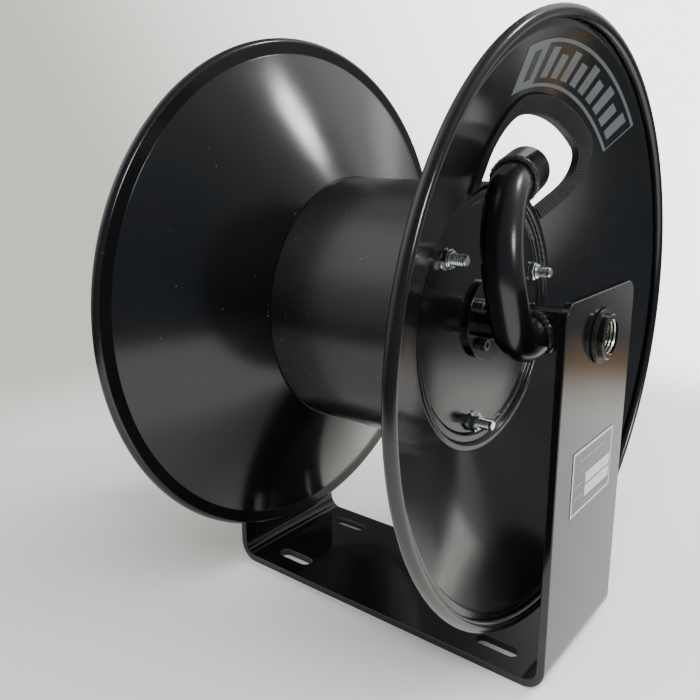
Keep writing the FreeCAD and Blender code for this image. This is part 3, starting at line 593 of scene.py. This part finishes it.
def set_true_normals(mesh):
    """Gives a disc's turned surfaces their true normals; flat and cut faces keep their own."""
    outline = disc_outline(NORMAL_STEPS)
    normals = outline_normals(outline)
    ring, turned = {}, []
    for vertex in mesh.vertices:
        radius, angle = about_axis(vertex.co)
        x = abs(vertex.co.x)
        key = (round(x, 6), round(radius, 6))
        if key not in ring:
            ring[key] = turned_normal(outline, normals, x, radius)
        along, out = ring[key]
        along = math.copysign(along, along * vertex.co.x)
        turned.append(Vector((along, out * math.cos(angle), out * math.sin(angle))))
    split = []
    for polygon in mesh.polygons:
        polygon.use_smooth = True
        flat = abs(polygon.normal.x) > FLAT_FACE
        for index in polygon.vertices:
            fits = not flat and turned[index].dot(polygon.normal) > NORMAL_MATCH
            split.append(turned[index] if fits else polygon.normal)
    mesh.normals_split_custom_set(split)


def make_inlet_disc():
    """The inlet disc's own mesh, with true normals."""
    mesh = NODES["inlet_disc"].data.copy()
    set_true_normals(mesh)
    piece = bpy.data.objects.new("inlet_disc_turned", mesh)
    bpy.context.scene.collection.objects.link(piece)
    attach(piece, "reel")
    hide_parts("inlet_disc")


def make_crank_disc():
    """The crank-side disc, turned from the same section."""
    outline = disc_outline(LATHE_STEPS)
    count = len(outline)
    verts = []
    for i in range(LATHE_SIDES):
        angle = 2 * math.pi * i / LATHE_SIDES
        verts.extend(at(-p.x, p.y, angle) for p in outline)
    faces = []
    for i in range(LATHE_SIDES):
        j = (i + 1) % LATHE_SIDES
        for k in range(count):
            m = (k + 1) % count
            faces.append((i * count + k, i * count + m, j * count + m, j * count + k))
    shell = Shell()
    shell.add(verts, faces)
    piece = shell.piece("crank_disc_turned", "disc", "reel", "black_disc")
    set_true_normals(piece.data)
    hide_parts("crank_disc")


def make_rod_threads():
    """Rolled threads on the six ends of the tie rods, each outside its nut."""
    centres = []
    for vertex in NODES["tie_rods"].data.vertices:
        if vertex.co.x > 0 and not any((vertex.co.yz - c).length < ROD_APART for c in centres):
            centres.append(vertex.co.yz.copy())
    groups = [[v.co for v in NODES["tie_rods"].data.vertices if (v.co.yz - c).length < ROD_APART]
              for c in centres]
    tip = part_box("tie_rods")[1].x
    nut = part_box("inlet_lock_nuts")[1].x
    shell = Shell()
    for group in groups:
        middle = sum(group, Vector()) / len(group)
        radius = max((p.yz - middle.yz).length for p in group)
        for side in (-1, 1):
            axis = Vector((side, 0, 0))
            centre = Vector((0, middle.y, middle.z))
            shell.add(*thread(centre, axis, radius, nut - ROD_UNDER_NUT, tip - ROD_TIP_GAP,
                              ROD_PITCH, ROD_RIDGE))
    shell.piece("rod_threads", "zinc", "reel", "zinc_rod")


def outlet_line():
    """Mouth and outward direction of the outlet."""
    outlet = MOUNTS["outlet_port"]
    return Vector(outlet["pos_m"]), Vector(outlet["axis"]).normalized()


def make_port_threads():
    """Pipe threads inside the inlet and the outlet."""
    shell = Shell()
    mouth = Vector((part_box("inlet_shaft")[1].x, 0, AXIS_Z))
    origin, axis = outlet_line()
    reach = max((v.co - origin).dot(axis) for v in NODES["outlet_coupling"].data.vertices)
    for name, centre, inwards in (("inlet_port", mouth, Vector((-1, 0, 0))),
                                  ("outlet_port", origin + axis * reach, -axis)):
        dims = MOUNTS[name]["dims"]
        shell.add(*thread(centre, inwards, dims["r_mm"] * MM, PIPE_MOUTH_GAP,
                          dims["length_mm"] * MM - PIPE_INNER_GAP, PIPE_PITCH, PIPE_RIDGE,
                          inward=True, per_turn=PIPE_PER_TURN))
    shell.piece("port_threads", "bare", "reel", "painted_shaft")


def weld_bead(loop, centre, radius):
    """Rippled bead along a closed loop of points."""
    length = sum((loop[i] - loop[i - 1]).length for i in range(len(loop)))
    ripples = round(length / WELD_RIPPLE)
    normals = [point - centre for point in loop]
    scales = []
    for i in range(len(loop)):
        phase = (i * ripples / len(loop)) % 1.0
        wobble = WELD_WOBBLE * math.sin(WELD_WOBBLES * 2 * math.pi * i / len(loop))
        scales.append(WELD_LOW + WELD_SWELL * math.sqrt(1.0 - phase) + wobble)
    return sweep(loop, normals, circle_section(radius, WELD_SIDES), closed=True, scales=scales)


def resample(loop, count):
    """Evenly spaced points round a closed loop."""
    lengths = [(loop[(i + 1) % len(loop)] - loop[i]).length for i in range(len(loop))]
    total = sum(lengths)
    made, i, used = [], 0, 0.0
    for k in range(count):
        want = total * k / count
        while used + lengths[i] < want:
            used += lengths[i]
            i += 1
        made.append(loop[i].lerp(loop[(i + 1) % len(loop)], (want - used) / lengths[i]))
    return made


def make_welds():
    """Weld beads where the riser meets the shaft and where the coupling meets the riser."""
    shell = Shell()
    shaft_r = min(about_axis(v.co)[0] for v in NODES["inlet_hub_plate"].data.vertices)
    saddle = [v.co.copy() for v in NODES["gooseneck"].data.vertices
              if abs(about_axis(v.co)[0] - shaft_r) < ON_SHAFT]
    middle = sum(saddle, Vector()) / len(saddle)
    out = Vector((0, middle.y, middle.z - AXIS_Z)).normalized()
    u = Vector((1, 0, 0))
    v = out.cross(u)
    outer = {}
    for point in saddle:
        offset = point - middle
        angle = math.atan2(offset.dot(v), offset.dot(u))
        sector = int((angle + math.pi) / (2 * math.pi) * SHAFT_WELD_SECTORS)
        reach = math.hypot(offset.dot(u), offset.dot(v))
        if sector not in outer or reach > outer[sector][0]:
            outer[sector] = (reach, point)
    loop = [outer[key][1] for key in sorted(outer)]
    shell.add(*weld_bead(resample(loop, SHAFT_WELD_POINTS), middle, WELD_R * SHAFT_WELD))

    origin, axis = outlet_line()
    verts = [w.co for w in NODES["outlet_coupling"].data.vertices]
    near = min((p - origin).dot(axis) for p in verts)
    base = origin + axis * near
    coupling_r = max((p - origin - axis * (p - origin).dot(axis)).length for p in verts)
    pipe_r = min((p - base - axis * (p - base).dot(axis)).length
                 for p in verts if abs((p - origin).dot(axis) - near) < ON_FACE)
    first, second = axis_frame(axis)
    ring_r = (pipe_r + coupling_r) / 2.0 - COUPLING_WELD_INSET
    ring = []
    for i in range(360):
        angle = math.radians(i)
        ring.append(base + (first * math.cos(angle) + second * math.sin(angle)) * ring_r)
    shell.add(*weld_bead(ring, base, WELD_R * COUPLING_WELD))
    shell.piece("weld_beads", "weld", "reel", "painted_pipe")


def make_trim_ribs():
    """Low ribs across the front leg of the window's edging."""
    tree = mesh_tree("edge_trim")
    low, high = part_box("edge_trim")
    radius_0, angle_0 = about_axis((low + high) / 2.0)
    centre = at(0.0, radius_0 * TRIM_MIDDLE_R, angle_0)
    reach = (high - low).length / 2.0

    def front(y, z):
        start = Vector((high.x + SEARCH_CLEAR, y, z))
        return tree.ray_cast(start, Vector((-1, 0, 0)))[0]

    shell = Shell()
    angle = 0.0
    while angle < 2 * math.pi:
        heading = Vector((0, math.cos(angle), math.sin(angle)))
        spots = []
        for k in range(int(reach / SEARCH_STEP)):
            hit = front(*(centre + heading * (SEARCH_STEP * k)).yz)
            if hit:
                spots.append((SEARCH_STEP * k, hit))
            elif spots:
                break
        if len(spots) < SEARCH_LEAST:
            angle += SEARCH_SKIP
            continue
        inner = [hit for distance, hit in spots if distance > spots[0][0] + RIB_END_GAP][0]
        outer = [hit for distance, hit in spots if distance < spots[-1][0] - RIB_END_GAP][-1]
        across = Vector((0, -heading.z, heading.y)) * (RIB_WIDTH / 2.0)
        foot, crest = [
            [inner - side + lift, outer - side + lift, outer + side + lift, inner + side + lift]
            for side, lift in ((across, Vector((-RIB_SUNK, 0, 0))),
                               (across * RIB_CREST, Vector((RIB_HEIGHT, 0, 0))))]
        if (outer - inner).length < RIB_LONGEST:
            shell.add(*box_solid(foot, crest))
        angle += RIB_PITCH / max(spots[-1][0], SEARCH_NEAREST)
    shell.piece("trim_ribs", "rubber", "reel", "trim_rubber", smooth=False)


class DecalFace:
    """The decal's conical front face, measured from its own mesh."""

    def __init__(self):
        spots = [(about_axis(v.co), v.co.x) for v in NODES["disc_decal"].data.vertices]
        self.r_in = min(r for (r, _), _ in spots)
        self.r_out = max(r for (r, _), _ in spots)
        self.a_low = min(a for (_, a), _ in spots)
        self.a_high = max(a for (_, a), _ in spots)
        self.x_in = max(x for (r, _), x in spots if r < self.r_in + ON_FACE)
        self.x_out = max(x for (r, _), x in spots if r > self.r_out - ON_FACE)

    def point(self, radius, angle, lift):
        share = (radius - self.r_in) / (self.r_out - self.r_in)
        return at(self.x_in + (self.x_out - self.x_in) * share + lift, radius, angle)

    def patch(self, shell, r0, r1, a0, a1):
        """Thin printed sector."""
        steps = max(1, int(abs(a1 - a0) / PRINT_FACET))
        lifts = (PRINT_LIFT, PRINT_LIFT + PRINT_T)
        verts = []
        for i in range(steps + 1):
            angle = a0 + (a1 - a0) * i / steps
            for lift in lifts:
                verts.append(self.point(r0, angle, lift))
                verts.append(self.point(r1, angle, lift))
        faces = [(0, 1, 3, 2), (4 * steps + 2, 4 * steps + 3, 4 * steps + 1, 4 * steps)]
        for i in range(steps):
            a, b = 4 * i, 4 * i + 4
            faces.append((a, b, b + 1, a + 1))
            faces.append((a + 2, a + 3, b + 3, b + 2))
            faces.append((a, a + 2, b + 2, b))
            faces.append((a + 1, b + 1, b + 3, a + 3))
        shell.add(verts, faces)


def make_decal_print():
    """Generic print on the decal: a border, a framed block at one end and a row of plain bars."""
    face = DecalFace()
    shell = Shell()
    edge, line = 0.4 * MM, 1.7 * MM
    thick = line * 2.5
    side = 0.9 * MM / face.r_out
    block = math.radians(9.5)
    slit_from, slit_to = block * 0.72, block * 0.40
    r0, r1 = face.r_in + edge, face.r_out - edge
    a0, a1 = face.a_low + edge / face.r_in, face.a_high - edge / face.r_in
    face.patch(shell, r0, r0 + line, a0, a1)
    face.patch(shell, r1 - line, r1, a0, a1)
    face.patch(shell, r0 + line, r1 - line, a0, a0 + side)
    face.patch(shell, r0 + line, r0 + thick, a1 - block, a1)
    face.patch(shell, r1 - thick, r1 - line, a1 - block, a1)
    face.patch(shell, r0 + thick, r1 - thick, a1 - block, a1 - slit_from)
    face.patch(shell, r0 + thick, r1 - thick, a1 - slit_to, a1)
    bars, bar_inset, bar_width, step_down = 9, 0.12, 0.62, 3.0 * MM
    first_gap, last_gap = math.radians(2.2), math.radians(1.2)
    foot_gap, head_gap = 2.6 * MM, 2.2 * MM
    start, end = a0 + first_gap, a1 - block - last_gap
    pitch = (end - start) / bars
    low, high = r0 + line + foot_gap, r1 - line - head_gap
    for i in range(bars):
        a = start + pitch * i + pitch * bar_inset
        top = high if i % 2 == 0 else high - step_down
        face.patch(shell, low, top, a, a + pitch * bar_width)
    shell.piece("decal_print", "silver_ink", "reel", "decal", smooth=False)


def make_label_print():
    """Generic print on the data label: a border, two blank boxes and thin plain lines."""
    low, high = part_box("data_label")
    x0, x1 = high.x + PRINT_LIFT, high.x + PRINT_LIFT + PRINT_T
    white, grey = Shell(), Shell()
    # Border: its gap to the edge and its inner side, as shares of the label's width and height
    y0, z0, y1, z1 = 0.012, 0.018, 0.034, 0.051
    # Each bar is its span across and its span upwards, in the same shares
    white_bars = [((y0, 1 - y0), (z0, z1)), ((y0, 1 - y0), (1 - z1, 1 - z0)),
                  ((y0, y1), (z1, 1 - z1)), ((1 - y1, 1 - y0), (z1, 1 - z1)),
                  ((0.33, 0.94), (0.39, 0.56)), ((0.33, 0.94), (0.19, 0.36))]
    grey_bars = [((0.16, 0.80), (0.78, 0.83)), ((0.16, 0.94), (0.67, 0.69)),
                 ((0.16, 0.62), (0.62, 0.64)), ((0.07, 0.26), (0.44, 0.48)),
                 ((0.07, 0.26), (0.25, 0.29)), ((0.28, 0.86), (0.11, 0.13))]
    for shell, bars in ((white, white_bars), (grey, grey_bars)):
        for y_span, z_span in bars:
            ya, yb = (low.y + (high.y - low.y) * share for share in y_span)
            za, zb = (low.z + (high.z - low.z) * share for share in z_span)
            ring = [(ya, za), (yb, za), (yb, zb), (ya, zb)]
            back, front = ([Vector((x, y, z)) for y, z in ring] for x in (x0, x1))
            shell.add(*box_solid(back, front))
    white.piece("label_print", "white_ink", "bracket", "label", smooth=False)
    grey.piece("label_lines", "silver_ink", "bracket", "label", smooth=False)


# ---------------------------------------------------------------- stage

def stage_floor():
    """Round pale floor that fades out where the backdrop takes over."""
    reach, fade_from, fade_to, sides = 1.2, 0.46, 0.73, 96
    g = Graph("stage_paper")
    uneven = g.noise(scale=1.5, detail=2.0)
    tone = g.ramp(uneven, [(0.3, (0.74, 0.73, 0.695)), (0.7, (0.78, 0.77, 0.735))])
    g.finish(tone, Roughness=0.55)
    length = g.node("ShaderNodeVectorMath", operation="LENGTH")
    g.link(g.position(), length.inputs[0])
    fade = g.node("ShaderNodeMapRange", interpolation_type="SMOOTHSTEP")
    fade.inputs["From Min"].default_value = fade_from
    fade.inputs["From Max"].default_value = fade_to
    g.link(length.outputs["Value"], fade.inputs["Value"])
    clear = g.node("ShaderNodeBsdfTransparent")
    blend = g.node("ShaderNodeMixShader")
    g.link(fade.outputs["Result"], blend.inputs[0])
    g.link(g.shader.outputs[0], blend.inputs[1])
    g.link(clear.outputs[0], blend.inputs[2])
    g.link(blend.outputs[0], g.tree.nodes["Material Output"].inputs["Surface"])
    turns = [2 * math.pi * i / sides for i in range(sides)]
    mesh = bpy.data.meshes.new("stage_floor")
    rim = [(reach * math.cos(a), reach * math.sin(a), 0.0) for a in turns]
    mesh.from_pydata(rim, [], [tuple(range(sides))])
    mesh.materials.append(g.material)
    floor = bpy.data.objects.new("stage_floor", mesh)
    bpy.context.scene.collection.objects.link(floor)


def area_light(name, place, target, size, power, seen=True):
    """Rectangular soft light aimed at a point; a fill light isn't seen in reflections."""
    data = bpy.data.lights.new(name, "AREA")
    data.shape = "RECTANGLE"
    data.size, data.size_y = size
    data.energy = power
    obj = bpy.data.objects.new(name, data)
    obj.location = place
    aim = Vector(target) - Vector(place)
    obj.rotation_euler = aim.to_track_quat("-Z", "Y").to_euler()
    obj.visible_glossy = seen
    bpy.context.scene.collection.objects.link(obj)


def stage_world():
    """Pale backdrop for the camera, and for reflections a dim room with soft bright regions."""
    world = bpy.data.worlds.new("studio")
    world.use_nodes = True
    nodes, links = world.node_tree.nodes, world.node_tree.links
    where = nodes.new("ShaderNodeTexCoord")

    def glow(azimuth, height, strength, stops):
        """Background whose colour depends on how far a ray points along a direction."""
        a, h = math.radians(azimuth), math.radians(height)
        dot = nodes.new("ShaderNodeVectorMath")
        dot.operation = "DOT_PRODUCT"
        flat = math.cos(h)
        dot.inputs[1].default_value = (math.cos(a) * flat, math.sin(a) * flat, math.sin(h))
        links.new(where.outputs["Generated"], dot.inputs[0])
        ramp = nodes.new("ShaderNodeValToRGB")
        ramp.color_ramp.interpolation = "EASE"
        set_stops(ramp, stops)
        links.new(dot.outputs["Value"], ramp.inputs["Fac"])
        shader = nodes.new("ShaderNodeBackground")
        links.new(ramp.outputs["Color"], shader.inputs["Color"])
        shader.inputs["Strength"].default_value = strength
        return shader.outputs[0]

    def grey(*pairs):
        return [(place, (value, value * 0.99, value * 0.965)) for place, value in pairs]

    room = glow(-20.0, 0.0, 0.2, [(0.0, (0.22, 0.23, 0.25)), (1.0, (0.55, 0.72, 0.95))])
    brown = [(0.9965, (0.0, 0.0, 0.0)), (0.9993, (1.0, 0.58, 0.22))]
    # Each bright region's azimuth, height, strength, and stops by how closely a ray points at it
    for azimuth, height, strength, stops in (
            (51.0, 42.0, 1.0, grey((0.50, 0.0), (0.80, 0.14), (0.95, 0.45), (1.0, 1.0))),
            (90.0, 30.0, 0.9, grey((0.90, 0.0), (0.97, 1.0))),
            (85.0, 2.0, 0.5, grey((0.935, 0.0), (0.955, 0.7), (1.0, 1.0))),
            (-145.0, 40.0, 2.0, grey((0.50, 0.05), (0.85, 0.40), (1.0, 1.0))),
            (70.0, -18.0, 0.8, brown)):
        both = nodes.new("ShaderNodeAddShader")
        links.new(room, both.inputs[0])
        links.new(glow(azimuth, height, strength, stops), both.inputs[1])
        room = both.outputs[0]
    # The backdrop is brighter towards the upper right and darker towards the lower left: painted
    # light falling from the right
    backdrop = glow(60.0, 25.0, 3.7, [(0.0, (0.225, 0.22, 0.20)), (0.66, (1.0, 0.985, 0.93))])
    path = nodes.new("ShaderNodeLightPath")
    mix = nodes.new("ShaderNodeMixShader")
    links.new(path.outputs["Is Camera Ray"], mix.inputs[0])
    links.new(room, mix.inputs[1])
    links.new(backdrop, mix.inputs[2])
    links.new(mix.outputs[0], nodes["World Output"].inputs["Surface"])
    bpy.context.scene.world = world


def stage_lights():
    """Soft plain studio light, strongest from behind on the right."""
    middle = (0.0, 0.0, 0.2)
    area_light("light_key", (0.76, 0.96, 1.42), middle, size=(0.22, 0.20), power=5.5)
    area_light("light_side", (1.70, 0.10, 0.72), (0.1, 0.0, 0.25), size=(0.3, 0.3), power=10.0)
    area_light("fill_key", (0.80, 1.00, 1.30), middle, size=(1.0, 0.8), power=36.0, seen=False)
    area_light("fill_front", (0.55, -0.70, 1.2), (0.15, -0.2, 0.0), size=(0.9, 0.8), power=19.0,
               seen=False)
    area_light("fill_right", (1.3, 0.0, 1.2), middle, size=(0.9, 0.9), power=12.0, seen=False)


def stage_camera():
    """Camera at the viewing angle of the reference."""
    data = bpy.data.cameras.new("camera")
    data.sensor_width = 36.0
    data.lens = 38.33
    data.shift_x = -0.02466
    data.shift_y = -0.02819
    obj = bpy.data.objects.new("camera", data)
    obj.location = (0.26008, -0.39121, 0.29667)
    obj.rotation_euler = (math.radians(76.32), 0.0, math.radians(37.55))
    bpy.context.scene.collection.objects.link(obj)
    bpy.context.scene.camera = obj


stage_camera()
paint_cad_nodes()
make_crank_disc()
make_inlet_disc()
make_rod_threads()
make_port_threads()
make_welds()
make_trim_ribs()
make_decal_print()
make_label_print()
stage_floor()
stage_world()
stage_lights()
